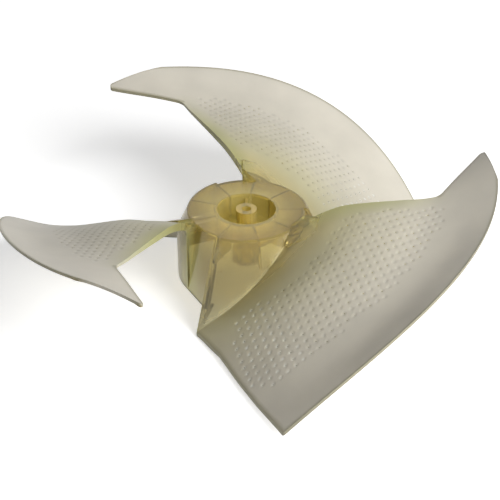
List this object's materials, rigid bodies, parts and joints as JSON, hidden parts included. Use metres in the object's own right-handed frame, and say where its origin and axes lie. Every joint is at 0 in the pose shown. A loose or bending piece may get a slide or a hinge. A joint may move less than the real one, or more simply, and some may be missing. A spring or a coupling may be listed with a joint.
{
  "type": "axial fan impeller",
  "caption": "Three-blade propeller fan in translucent straw-coloured resin, with sickle-shaped forward-swept blades and a flared hollow hub bored for a motor shaft.",
  "frame": {"origin": "on the shaft axis, in the plane of the hub's top face and the top of the boss", "axes": "+Z along the shaft axis, out of the nut side of the hub; +X through the leading-edge side of one blade"},
  "size_m": [0.3997, 0.3989, 0.1179],
  "materials": {
    "resin": "satin translucent styrene resin"
  },
  "bodies": {
    "root": {"impeller": "resin"}
  },
  "joints": []
}
